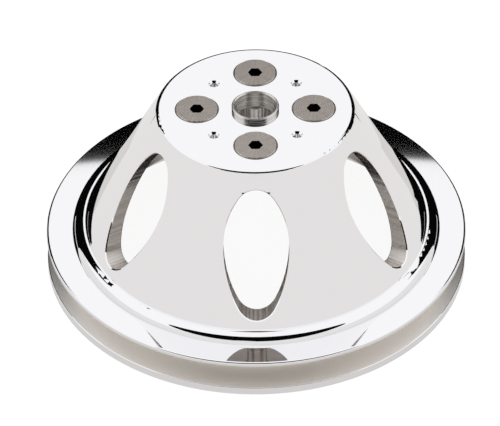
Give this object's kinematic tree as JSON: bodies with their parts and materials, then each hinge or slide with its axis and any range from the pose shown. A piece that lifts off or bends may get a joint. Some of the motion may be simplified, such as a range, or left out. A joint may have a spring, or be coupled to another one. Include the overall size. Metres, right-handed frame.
{
  "type": "v-belt pulley",
  "caption": "Tall bell-shaped V-belt pulley with lens-shaped windows, a flat round nose plate, flat head screws and a pressed pilot ring.",
  "frame": {"origin": "centre of the rim's lower edge, on the pulley's axis: the middle of the bottom of the bounding box", "axes": "+Z along the pulley's axis, from the open rim towards the nose plate; -Y towards the front window"},
  "size_m": [0.1626, 0.1626, 0.075],
  "materials": {
    "polished_aluminium": "mirror polished",
    "turned_aluminium": "fine turned, satin",
    "stainless": "satin stainless"
  },
  "bodies": {
    "pulley": {"pulley_body": "polished_aluminium", "pilot_ring": "turned_aluminium"},
    "screw_right": {"screw_right": "stainless"},
    "screw_rear": {"screw_rear": "stainless"},
    "screw_left": {"screw_left": "stainless"},
    "screw_front": {"screw_front": "stainless"}
  },
  "joints": [
    {"name": "screw_right_turn", "type": "hinge", "parent": "pulley", "child": "screw_right", "pos_m": [0.02223, 0, 0.0734], "axis": [0, 0, 1], "continuous": true},
    {"name": "screw_rear_turn", "type": "hinge", "parent": "pulley", "child": "screw_rear", "pos_m": [0, 0.02223, 0.0734], "axis": [0, 0, 1], "continuous": true},
    {"name": "screw_left_turn", "type": "hinge", "parent": "pulley", "child": "screw_left", "pos_m": [-0.02223, 0, 0.0734], "axis": [0, 0, 1], "continuous": true},
    {"name": "screw_front_turn", "type": "hinge", "parent": "pulley", "child": "screw_front", "pos_m": [0, -0.02223, 0.0734], "axis": [0, 0, 1], "continuous": true}
  ]
}
